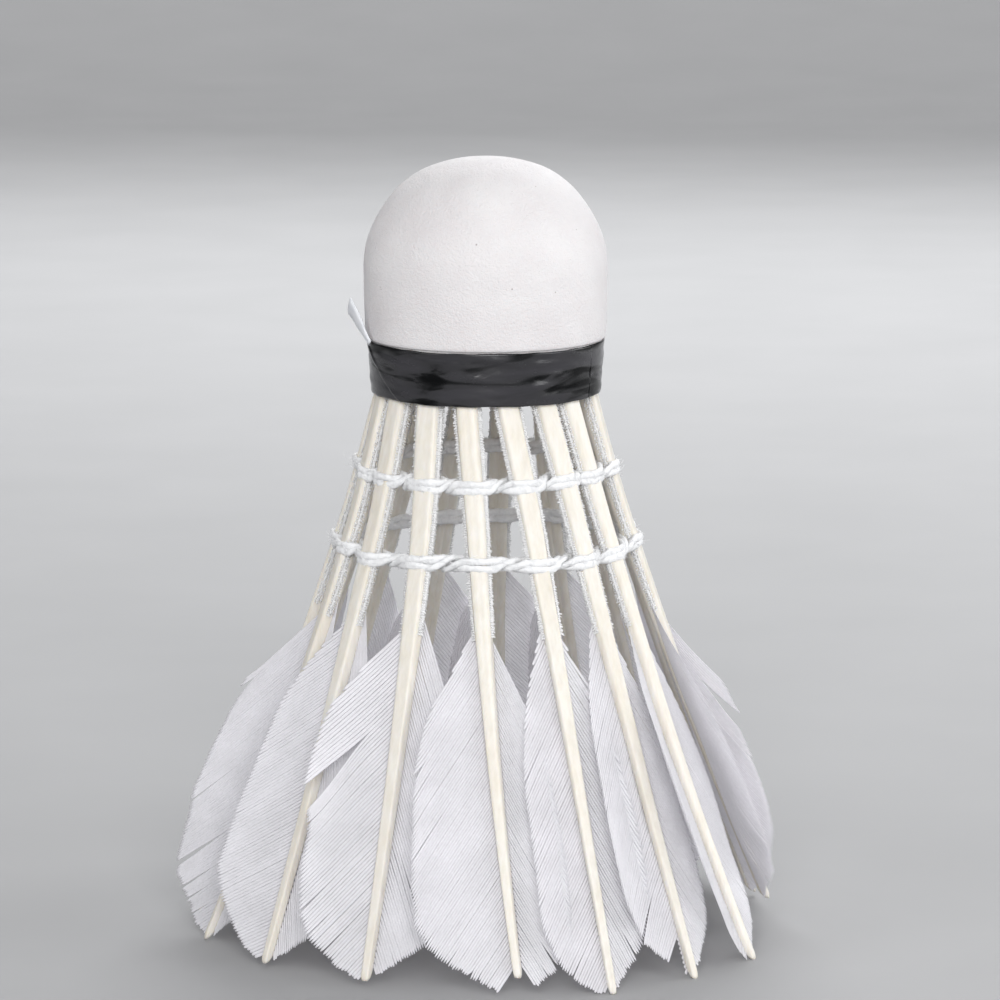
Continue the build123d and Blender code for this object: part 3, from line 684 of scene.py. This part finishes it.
def tape_tab():
    """Pale end of the tape that stands away from the cork."""
    stations = 30
    along = np.linspace(0, 1, stations)
    radius = 13.16 + 1.50 * along ** 1.12 + 0.04 * np.sin(7 * along)
    azimuth = np.radians(-69.5 - 13.0 * along)
    sideways = np.stack([np.cos(azimuth), np.sin(azimuth), np.zeros(stations)], -1)
    line = polar(radius, azimuth, 63.65 + 3.70 * along)
    tangent = unit(np.gradient(line, axis=0))
    across = unit(sideways - (sideways * tangent).sum(1)[:, None] * tangent)
    normal = np.cross(tangent, across)
    twist = np.radians(4 + 16 * along)[:, None]
    wide = np.cos(twist) * across + np.sin(twist) * normal
    high = -np.sin(twist) * across + np.cos(twist) * normal
    half = 0.40 + 0.62 * smooth(0.0, 0.75, along)
    points = np.zeros((stations, len(TAB_SECTION), 3))
    for k, (x, y) in enumerate(TAB_SECTION):
        cup = 0.10 * (x * x - 0.4)
        points[:, k] = line + (x * half)[:, None] * wide + (y * TAB_HALF_THICKNESS + cup) * high
        points[:, k, 2] += 0.05 * np.sin(5 * along + x) + 0.22 * x * along ** 3
    make("tape_loose_end", tubes(points[None]), MATERIALS["tab"], "tape_end_tab")


tape_turn()
tape_overlap()
tape_tab()

# ------------------------------------------------------------------- shafts
# (sideways, outward) in half widths and half depths; grooved on the inner side
SHAFT_SECTION = [
    (0, 1.0), (-0.38, 0.995), (-0.70, 0.95), (-0.88, 0.74), (-0.97, 0.34), (-1.0, -0.10),
    (-0.90, -0.54), (-0.62, -0.88), (-0.30, -0.96), (-0.10, -0.86), (0, -0.80), (0.10, -0.86),
    (0.30, -0.96), (0.62, -0.88), (0.90, -0.54), (1.0, -0.10), (0.97, 0.34), (0.88, 0.74),
    (0.70, 0.95), (0.38, 0.995)]


def shaft(i):
    rng = np.random.default_rng(100 + i)
    outward, sideways = directions(i)
    tip = FEATHERS[i].tip
    stations = 150
    z = tip + (SHAFT_TOP_Z - tip) * np.linspace(0, 1, stations) ** 1.08
    across, out = catmull(SHAFT_SECTION, 40).T
    end = smooth(0, 0.55, z - tip)
    width = (half_width(z) * SHAFT_WIDTH.get(i, 1.0) * (0.84 + 0.16 * end)
             * (1 + wobble(stations, 12, 0.005, rng)))
    depth = half_depth(z) * (0.70 + 0.30 * end) * (1 + wobble(stations, 12, 0.006, rng))
    x = across * width[:, None]
    y = np.where(out > 0, out, out * 0.80) * depth[:, None]
    # two faint creases along the outer face, as dried quills have
    middle = rng.uniform(-0.25, 0.25)
    creases = (-0.030 * np.exp(-((across - middle) / 0.16) ** 2)
               - 0.020 * np.exp(-((across + 0.45 - middle) / 0.10) ** 2)) * (out > 0.6)
    y = y + creases * smooth(10, 34, z)[:, None]
    sway = wobble(stations, 20, 0.020, rng)[:, None]
    points = (shaft_line(i, z)[:, None, :] + (x + sway)[..., None] * sideways
              + y[..., None] * outward)
    # slanting cut at the tip: the outer side is a little longer
    points[:3, :, 2] += (0.16 * (-out) + 0.16) * np.array([1, 0.6, 0.3])[:, None]
    points[:, :, 2] = np.maximum(points[:, :, 2], GROUND_Z + 0.005)
    number = "%02d" % (i + 1)
    make("shaft_" + number, tubes(points[None, :, ::-1]), MATERIALS["shaft"],
         "quill_" + number)


for i in range(len(FEATHERS)):
    shaft(i)

# --------------------------------------------------------------------- webs
BARB_SECTION = [(-1.0, 0.0), (-0.62, 0.62), (0.0, 1.0), (0.62, 0.62), (1.0, 0.0),
                (0.55, -0.62), (0.0, -0.85), (-0.55, -0.62)]
BARB_STATIONS = 22


def lay_barbs(i, side, outline, rng):
    """Roots and angles of one web's barbs, with a spare barb at each end."""
    left = side == "L"
    top_angle, tip_angle, bend, pitch = OWN_BARBS.get((i, side), USUAL_BARBS[side])
    top = (35.4 if left else min(36.4, outline[0][0] - 0.6)) + rng.uniform(-0.25, 0.25)
    lowest = FEATHERS[i].tip + 0.35
    kept = int((top - lowest) / pitch)
    root_z = top - pitch * np.arange(-1, kept + 1) + np.r_[0, rng.normal(0, pitch * 0.03, kept), 0]
    share = np.clip((top - root_z) / (top - lowest), 0, 1)
    angle = np.radians(top_angle + (tip_angle - top_angle) * share ** (1.0 if left else 1.6))
    return SimpleNamespace(count=kept + 2, top=top, pitch=pitch, bend=bend, root_z=root_z,
                           root_width=0.80 * half_width(root_z), angle=angle)


def barb_lengths(i, side, outline, barbs, rng):
    """Length at which each barb meets the outline, with an uneven edge."""
    feather = FEATHERS[i]
    edge_z, edge_width = np.array(outline[::-1], float).T
    if (i, side) not in OWN_OUTLINES:
        edge_z = edge_z + feather.tip * np.maximum(0, 1 - edge_z / 6.6)
    edge_width = edge_width * (feather.left_width if side == "L" else feather.right_width)
    reach = np.linspace(0, 20.0, 240)
    angle = barbs.angle[:, None] + barbs.bend * reach
    down = -np.cumsum(np.cos(angle), 1) * reach[1]
    out = np.cumsum(np.sin(angle), 1) * reach[1]
    z = barbs.root_z[:, None] + down - down[:, :1]
    width = barbs.root_width[:, None] + out - out[:, :1]
    over = (width >= np.interp(z, edge_z, edge_width)) | (z < GROUND_Z + 0.12)
    over[:, :8] = False
    length = np.where(over.any(1), reach[np.argmax(over, 1)], 1.0)
    length = np.maximum(length, 0.5)
    if (i, side) == (5, "L"):       # worn away beside the tip
        length = np.where(barbs.root_z < 3.6, 0.45, length)
    # each barb ends a little short or long of the outline
    uneven = rng.normal(0, 0.055, barbs.count) + wobble(barbs.count, 9, 0.07, rng)
    fray = sum(size * smooth(start, end, barbs.root_z)
               for size, start, end in FRAYS.get((i, side), []))
    uneven = uneven - np.abs(rng.normal(0, 1, barbs.count)) * fray
    return np.maximum(length + uneven, 0.45)


def split_barbs(splits, barbs, length, along, barb_z, barb_width, rng):
    """Open the splits; returns heights, widths and outward lift of the barbs."""
    z, width = barb_z.copy(), barb_width.copy()
    lift = np.zeros_like(z)
    block = np.zeros(barbs.count, int)
    number = np.arange(barbs.count)
    for split_z, start, rise, drop in splits:
        split = (barbs.top - split_z) / barbs.pitch + 1
        opening = smooth(start, 1.0, along) * np.clip(length[:, None] / 9.0, 0.2, 1.2)
        above = number < split
        rising = np.where(above, np.exp(-(split - number) / (7.0 if rise > 0.3 else 4.0)), 0)
        falling = np.where(above, 0, np.exp(-(number - split) / (9.0 if drop > 0.8 else 5.0)))
        rising, falling = rising[:, None], falling[:, None]
        z += opening * rise * rising
        width += opening * rise * rising * 0.25
        z -= opening * drop * falling
        width -= opening * drop * falling * 0.22
        lift += opening * (rising - 0.6 * falling) * min(0.12, 0.25 * (rise + drop))
        block += ~above
    # each block of barbs between splits rides at its own level
    level = rng.normal(0, 0.012, 12)[np.clip(block, 0, 11)]
    lift += level[:, None] * smooth(0.15, 0.8, along) * 2.0
    return z, width, lift


def place_on_web(i, side, z, width, lift):
    """Points of the curved web at the given distances from the shaft."""
    outward, sideways = directions(i)
    if side == "L":
        flare = FEATHERS[i].flare
        near, far = radians(flare * 0.55), radians(flare * 1.45)
        steps = 10
        out, across = np.zeros_like(width), np.zeros_like(width)
        for step in range(steps):
            distance = (step + 0.5) / steps * width
            angle = near + (far - near) * np.clip(distance / 10.0, 0, 1.1)
            out += np.sin(angle) * width / steps
            across -= np.cos(angle) * width / steps
    else:
        angle = -0.9 * np.arctan2(shaft_lean(i, z), shaft_radius(i, z)) - radians(1.0)
        out = np.sin(angle) * width
        across = np.cos(angle) * width
    out = out - WEB_SINK - 0.12 * half_depth(z) - 0.06 + lift
    return shaft_line(i, z) + out[..., None] * outward + across[..., None] * sideways


def web(i, side):
    rng = np.random.default_rng(1000 + 2 * i + (side == "R"))
    left = side == "L"
    outward, _ = directions(i)
    outline = OWN_OUTLINES.get((i, side), OUTLINES[side])
    barbs = lay_barbs(i, side, outline, rng)
    length = barb_lengths(i, side, outline, barbs, rng)
    along = np.linspace(0, 1, BARB_STATIONS) ** 0.92
    reach = length[:, None] * along
    angle, bend = barbs.angle[:, None], barbs.bend
    flat_z = barbs.root_z[:, None] - (reach * np.cos(angle)
                                      - 0.5 * bend * reach ** 2 * np.sin(angle))
    flat_width = (barbs.root_width[:, None] + reach * np.sin(angle)
                  + 0.5 * bend * reach ** 2 * np.cos(angle))

    # a few slight splits besides the listed ones
    slight = [(rng.uniform(6, 30), rng.uniform(0.6, 0.88), rng.uniform(0.01, 0.05),
               rng.uniform(0.01, 0.06)) for _ in range(int(rng.integers(2, 5)))]
    z, width, lift = split_barbs(SPLITS.get((i, side), []) + slight, barbs, length, along,
                                 flat_z, flat_width, rng)
    # combed look: single barbs ride a little high or low
    rough = 1.5 if i == 4 else 0.65
    ride = rng.normal(0, 0.006, barbs.count) + wobble(barbs.count, 6, 0.016, rng)
    lift += rough * ride[:, None] * smooth(0.0, 0.6, along)
    lift += 0.08 * np.sin(0.35 * flat_z + 0.5 * flat_width + rng.uniform(0, 6))
    if (i, side) == (4, "R"):     # separated barbs near the top of this web
        apart = (np.exp(-((barbs.root_z - 31.0) / 2.4) ** 2)[:, None] * smooth(0.2, 1, along))
        z += apart * rng.normal(0, 0.17, barbs.count)[:, None]
        lift += apart * rng.normal(0, 0.09, barbs.count)[:, None]
    z = np.maximum(z, GROUND_Z + 0.07)
    line = place_on_web(i, side, z, width, lift)[1:-1]

    # directions along each barb, out of the web, and across the barb towards the tip
    root_z = barbs.root_z[1:-1][:, None]
    down_shaft = unit(shaft_line(i, root_z - 0.5) - shaft_line(i, root_z + 0.5))
    tangent = unit(np.gradient(line, axis=1), guard=1e-9)
    normal = unit(np.cross(tangent, down_shaft) * (-1.0 if left else 1.0), guard=1e-9)
    if np.mean((normal * outward).sum(-1)) < 0:
        normal = -normal
    across = unit(np.cross(normal, tangent), guard=1e-9)
    if np.mean((across * down_shaft).sum(-1)) < 0:
        across = -across
    slope = np.clip(np.abs((tangent * down_shaft).sum(-1)), 0, 0.995)
    gap = barbs.pitch * np.sin(np.arccos(slope))
    root_gap = 0.05 if left else 0.11
    fill = 1.13 - root_gap * (1 - smooth(0.04, 0.42, along))
    taper = 1 - 0.66 * smooth(0.93, 1.0, along) ** 1.4
    half = 0.5 * gap * fill * taper
    height = ((0.054 if left else 0.064) - 0.022 * smooth(0, 0.6, along)) * (0.35 + 0.65 * taper)
    points = sweep(line, BARB_SECTION, half[..., None] * across, height[:, None] * normal)
    points[..., 2] = np.maximum(points[..., 2], GROUND_Z + 0.01)
    return tubes(points if left else points[:, :, ::-1])


# ------------------------------------------------------------- trimmed barbs
LEDGE_SECTION = [(-1.0, 0.5), (0.2, 0.72), (1.0, 0.28), (1.05, -0.3), (0.3, -0.9), (-1.0, -0.9)]
TOOTH_SECTION = [(-1, 0), (-0.5, 0.9), (0.5, 0.9), (1, 0), (0.5, -0.9), (-0.5, -0.9)]
# rows of teeth: outward place in half depths, length, spacing
TOOTH_ROWS = [(0.34, 0.42, 0.245), (0.14, 0.38, 0.245), (-0.10, 0.28, 0.26), (0.52, 0.20, 0.245)]


def ledge(i, sign, low_z, rng):
    """The ledge the barbs were cut back to."""
    outward, sideways = directions(i)
    stations = 170
    z = np.linspace(low_z, 58.6, stations)
    half = (0.19 * (1 + wobble(stations, 2.2, 0.12, rng))
            * smooth(low_z - 0.4, low_z + 1.6, z))
    middle = half_width(z) * SHAFT_WIDTH.get(i, 1.0) * 0.97 + 0.05
    line = (shaft_line(i, z) + (sign * middle)[:, None] * sideways
            + (0.24 * half_depth(z))[:, None] * outward)
    points = sweep(line, LEDGE_SECTION, (sign * half)[:, None] * sideways, 0.20 * outward)[None]
    return tubes(points if sign > 0 else points[:, :, ::-1])


def teeth(i, sign, low_z, row, rng):
    """One row of short barb ends."""
    outward, sideways = directions(i)
    level, row_length, spacing = row
    z = np.arange(low_z, 57.9, spacing)
    count = len(z)
    z = z + rng.normal(0, 0.016, count)
    length = np.clip(row_length * (1 + rng.normal(0, 0.13, count)), 0.10, 0.62)
    along = np.linspace(0, 1, 4)
    angle = np.radians(68 + rng.normal(0, 8, count))
    across = ((half_width(z) * SHAFT_WIDTH.get(i, 1.0))[:, None] * 0.94
              + (length * np.sin(angle))[:, None] * along)
    out = ((level * half_depth(z) + rng.normal(0, 0.03, count))[:, None]
           + rng.normal(0, 0.05, count)[:, None] * along)
    line = (shaft_line(i, z)[:, None, :] + (sign * across)[..., None] * sideways
            + out[..., None] * outward)
    line[..., 2] -= (length * np.cos(angle))[:, None] * along
    half = (0.125 + rng.normal(0, 0.012, count))[:, None] * (1 - 0.62 * along ** 1.6)
    thick = 0.085 * (1 - 0.35 * along)
    points = sweep(line, TOOTH_SECTION, half[..., None] * UP, thick[:, None] * outward)
    return tubes(points[:, :, ::-1] if sign > 0 else points)


def stubs(i):
    """Trimmed barbs on both sides of the bare shaft: a ledge with a saw-tooth edge."""
    rng = np.random.default_rng(5000 + i)
    meshes = []
    for sign, low_z in ((-1, 34.4), (1, 34.8)):
        meshes.append(ledge(i, sign, low_z, rng))
        meshes += [teeth(i, sign, low_z, row, rng) for row in TOOTH_ROWS]
    return join(meshes)


for i in range(len(FEATHERS)):
    number = "%02d" % (i + 1)
    make("web_" + number, join([web(i, "L"), web(i, "R")]), MATERIALS["web"],
         "vane_" + number)
    make("barb_stubs_" + number, stubs(i), MATERIALS["stub"], "vane_" + number)

# ------------------------------------------------------------------ threads
THREAD_RADIUS = 0.345
STRAND_ANGLES = (36, -36, 144, 216)     # places of the four strands around the ring's course
STATIONS_PER_GAP = 46
TRIANGLE = [(cos(2 * pi * k / 3), sin(2 * pi * k / 3)) for k in range(3)]   # fibre section


def thread_course(ring_z, rng):
    """Middle line of a thread ring, from shaft to shaft around the skirt."""
    places = []
    for i in range(len(FEATHERS)):
        x, y, _ = shaft_line(i, np.array(ring_z))
        places.append((atan2(x, -y), hypot(x, y)))
    shaft_azimuth, radius = np.array(sorted(places)).T[..., None]
    shafts = len(places)
    shaft_z = ring_z + rng.normal(0, 0.16, shafts)[:, None]
    width, depth = float(half_width(ring_z)), float(half_depth(ring_z))

    along = np.arange(STATIONS_PER_GAP) / STATIONS_PER_GAP
    ease = smooth(0, 1, along)
    gap = (np.roll(shaft_azimuth, -1, 0) - shaft_azimuth) % (2 * pi)
    azimuth = (shaft_azimuth + gap * along).ravel()
    chord = radius * (1 - along) + np.roll(radius, -1, 0) * along - 0.30 * 4 * along * (1 - along)
    z = (shaft_z * (1 - ease) + np.roll(shaft_z, -1, 0) * ease
         - 0.10 * 4 * along * (1 - along))
    gap_number = np.repeat(np.arange(shafts), STATIONS_PER_GAP)
    share = np.tile(along, shafts)
    span = (gap * radius).ravel()[gap_number]
    margin = (width + 0.22) / span      # part of the gap still beside the shaft
    turn = smooth(0, 1, (share - margin) / (1 - 2 * margin))
    near = 1 - np.sin(pi * turn) ** 0.8     # 1 at a shaft, 0 midway between shafts
    count = len(azimuth)
    eye = 1 + 0.35 * np.clip(wobble(count, 30, 0.8, rng), -0.6, 1.6) * np.sin(pi * share) ** 2
    to_edge = np.minimum(share, 1 - share) * span / (width + 0.22)
    return SimpleNamespace(
        count=count, azimuth=azimuth, radius=chord.ravel(), z=z.ravel(), depth=depth, near=near,
        eye=eye, twist=pi * (turn + gap_number), outward=polar(1.0, azimuth, 0.0),
        corner=1 - 0.16 * smooth(0.55, 1.0, to_edge))


def closed_wobble(count, scale, size, rng):
    """Random curve along the ring that meets itself at the end."""
    curve = wobble(count, scale, size, rng)
    blend = min(60, count // 4)
    share = smooth(0, 1, np.arange(blend) / (blend - 1))
    curve[-blend:] = curve[-blend:] * (1 - share) + curve[0] * share
    return curve


def thread_strand(course, start_angle, rng):
    """One twisted strand; returns its mesh and the lines its down grows from."""
    def uneven(scale, size):
        return closed_wobble(course.count, scale, size, rng)

    near = course.near
    angle = radians(start_angle) + course.twist
    out, up = np.cos(angle), np.sin(angle)
    # the strands hug the rounded corners of the shaft
    beside = (np.where(out > 0, course.depth + 0.13, course.depth * 0.80 + 0.16)
              / cos(radians(36)))
    swing_out = beside * course.corner * near + 0.40 * (1 - near) * course.eye
    swing_up = 0.60 * near + 0.44 * (1 - near) * course.eye
    radius = course.radius + swing_out * out + uneven(12, 0.035)
    z = course.z + swing_up * up + uneven(10, 0.055)
    line = polar(radius, course.azimuth, z)
    arc = np.cumsum(np.linalg.norm(np.roll(line, -1, 0) - line, axis=1))
    turns = round(arc[-1] / 1.2)
    phase = 2 * pi * turns * arc / arc[-1] + rng.uniform(0, 6) + uneven(14, 0.5)
    section = 20
    around = np.linspace(0, 2 * pi, section, endpoint=False)
    tangent = unit(np.roll(line, -1, 0) - np.roll(line, 1, 0))
    normal = unit(course.outward - (course.outward * tangent).sum(1)[:, None] * tangent)
    across = np.cross(tangent, normal)
    thickness = THREAD_RADIUS * (1 + uneven(7, 0.085) + uneven(20, 0.06))
    grain = rng.normal(0, 1, (course.count, section))
    grain = 0.5 * grain + 0.25 * (np.roll(grain, 1, 0) + np.roll(grain, -1, 0))
    plies = np.abs(np.cos(1.5 * (around - phase[:, None])))
    profile = thickness[:, None] * (0.90 + 0.10 * plies + 0.075 * grain)
    flat, tall = 1 - 0.30 * near, 1 + 0.20 * near    # pressed against the shafts
    points = (line[:, None]
              + (profile * np.cos(around) * flat[:, None])[..., None] * normal[:, None]
              + (profile * np.sin(around) * tall[:, None])[..., None] * across[:, None])
    strand = SimpleNamespace(line=line, tangent=tangent, normal=normal, across=across,
                             thickness=thickness, flat=flat, tall=tall)
    return ring_tube(points), strand


def thread_down(strand, rng):
    """Down of short fibres lying on a strand."""
    fibres = 2300
    k = rng.integers(0, len(strand.line), fibres)
    around = rng.uniform(0, 2 * pi, fibres)
    normal, across, tangent = strand.normal[k], strand.across[k], strand.tangent[k]
    surface = strand.thickness[k] * 0.93
    base = (strand.line[k] + (surface * np.cos(around) * strand.flat[k])[:, None] * normal
            + (surface * np.sin(around) * strand.tall[k])[:, None] * across)
    outward = np.cos(around)[:, None] * normal + np.sin(around)[:, None] * across
    side = np.cross(tangent, outward)
    heading = unit(tangent * rng.choice([-1, 1], fibres)[:, None] * 0.85
                   + side * rng.normal(0, 0.55, fibres)[:, None]
                   + outward * rng.uniform(0.05, 0.5, fibres)[:, None])
    length = np.clip(rng.gamma(3.0, 0.13, fibres), 0.15, 1.1)
    curl = rng.normal(0, 0.45, fibres)
    along = np.linspace(0, 1, 4)
    path = (base[:, None] + (length[:, None] * along)[..., None] * heading[:, None]
            + ((length * curl)[:, None] * along ** 2)[..., None] * side[:, None]
            - ((0.25 * length)[:, None] * along ** 2)[..., None] * outward[:, None])
    wide = unit(np.cross(heading, outward), guard=1e-9)
    high = np.cross(wide, heading)
    radius = (0.029 * (1 - 0.6 * along))[:, None]
    return tubes(sweep(path, TRIANGLE, radius * wide[:, None], radius * high[:, None]))


def loose_fibres(course, rng):
    """Longer single fibres standing off a thread ring."""
    fibres = 300
    stations = rng.integers(0, course.count, fibres)
    sides = rng.uniform(0, 2 * pi, fibres)
    lengths = np.clip(rng.gamma(2.0, 0.40, fibres), 0.25, 2.8)
    curls = rng.normal(0, 1.1, fibres)
    along = np.linspace(0, 1, 9)
    radius = (0.014 * (1 - 0.5 * along))[:, None]
    points = []
    for k, side, length, curl in zip(stations, sides, lengths, curls):
        azimuth, near = course.azimuth[k], course.near[k]
        outward = course.outward[k]
        sideways = np.array([cos(azimuth), sin(azimuth), 0])
        offset = (course.depth + 0.28) * near + 0.55 * (1 - near)
        sign = 1 if rng.random() < 0.72 else -1
        start = (outward * (course.radius[k] + sign * offset * 0.9)
                 + UP * (course.z[k] + rng.uniform(-0.6, 0.6)))
        heading = unit(outward * sign * abs(cos(side)) * 0.45 + sideways * rng.normal(0, 0.9)
                       + UP * sin(side) * 0.85)
        wide = unit(np.cross(heading, outward), guard=1e-9)
        high = np.cross(wide, heading)
        path = (start + np.outer(along * length, heading)
                + np.outer(curl * 0.45 * length * along ** 2, wide)
                + np.outer(0.16 * length * np.sin(6 * along + side), high))
        points.append(sweep(path, TRIANGLE, radius * wide, radius * high))
    return tubes(np.array(points))


def thread_ring(place, ring_z, seed):
    rng = np.random.default_rng(seed)
    course = thread_course(ring_z, rng)
    strands, down = [], []
    for start_angle in STRAND_ANGLES:
        mesh, strand = thread_strand(course, start_angle, rng)
        strands.append(mesh)
        down.append(thread_down(strand, rng))
    down.append(loose_fibres(course, rng))
    for kind, meshes in (("ring", strands), ("fibres", down)):
        make("thread_%s_%s" % (kind, place), join(meshes), MATERIALS["thread"],
             place + "_thread")


thread_ring("upper", UPPER_THREAD_Z, seed=21)
thread_ring("lower", LOWER_THREAD_Z, seed=22)


# ------------------------------------------------------------ stage (metres)
def stage_floor():
    """Flat floor that curves up into a backdrop far behind."""
    half_floor, bend_start, bend_radius, bend_steps = 3.0, 0.9, 0.6, 12
    profile = [(-1.6, 0.0), (bend_start, 0.0)]      # (y, z)
    for k in range(1, bend_steps + 1):
        angle = k / bend_steps * pi / 2
        profile.append((bend_start + bend_radius * sin(angle),
                        bend_radius - bend_radius * cos(angle)))
    profile.append((bend_start + bend_radius, 2.6))
    points = [(x, y, z) for y, z in profile for x in (-half_floor, half_floor)]
    faces = [(2 * k, 2 * k + 1, 2 * k + 3, 2 * k + 2) for k in range(len(profile) - 1)]
    data = bpy.data.meshes.new("stage_floor")
    data.from_pydata(points, [], faces)
    for face in data.polygons:
        face.use_smooth = True
    data.update()
    shader = Shader("stage_floor_paper")
    cloud = shader.noise(shader.coords(), scale=30, detail=4)
    colour = shader.ramp(cloud, [(0.3, (0.375, 0.375, 0.380)), (0.7, (0.392, 0.392, 0.397))])
    shader.finish({"Base Color": colour, "Roughness": 0.72, "Specular IOR Level": 0.18})
    data.materials.append(shader.material)
    floor = bpy.data.objects.new("stage_floor", data)
    bpy.context.scene.collection.objects.link(floor)


# name, location, target, (width, height), power in watts, colour
LIGHTS = [
    ("key", (0.03, -0.77, 0.37), (0, 0, 0.042), (0.50, 0.42), 5.0, (1.0, 0.995, 0.99)),
    ("fill", (0.62, -0.30, 0.24), (0, 0, 0.035), (0.34, 0.45), 1.45, (0.98, 0.99, 1.0)),
    ("side_left", (-0.58, -0.30, 0.34), (0, 0, 0.05), (0.34, 0.45), 0.85, (1.0, 1.0, 1.0)),
    ("kicker_right", (0.52, 0.20, 0.22), (0.02, 0, 0.02), (0.30, 0.35), 1.15, (1.0, 1.0, 1.0)),
    ("backdrop_wash", (0.0, 0.70, 0.95), (0, 1.45, 0.10), (1.6, 0.5), 9.0, (1.0, 1.0, 1.0)),
    ("rim", (0.06, 0.60, 0.40), (0, 0, 0.04), (0.50, 0.35), 2.9, (0.98, 0.99, 1.0)),
]


def area_light(name, location, target, size, power, colour):
    data = bpy.data.lights.new(name, "AREA")
    data.energy = power
    data.color = colour
    data.shape = "RECTANGLE"
    data.size, data.size_y = size
    light = bpy.data.objects.new(name, data)
    light.location = location
    aim = Vector(target) - Vector(location)
    light.rotation_euler = aim.to_track_quat("-Z", "Y").to_euler()
    bpy.context.scene.collection.objects.link(light)


def studio_world():
    world = bpy.data.worlds.new("studio")
    bpy.context.scene.world = world
    world.use_nodes = True
    background = world.node_tree.nodes["Background"]
    background.inputs["Color"].default_value = (0.95, 0.97, 1.0, 1)
    background.inputs["Strength"].default_value = 0.34


def camera():
    tilt_down = 10.084      # degrees below level, looking along +Y
    data = bpy.data.cameras.new("camera")
    data.sensor_width = 36.0
    data.lens = 178.265
    data.clip_start = 0.01
    data.clip_end = 20
    viewer = bpy.data.objects.new("camera", data)
    viewer.location = (0.001504, -0.52478, 0.13989)
    viewer.rotation_euler = (radians(90 - tilt_down), 0, 0)
    scene = bpy.context.scene
    scene.collection.objects.link(viewer)
    scene.camera = viewer
    scene.view_settings.view_transform = "Standard"
    scene.view_settings.look = "None"
    scene.view_settings.exposure = 0.0


stage_floor()
for light in LIGHTS:
    area_light(*light)
studio_world()
camera()
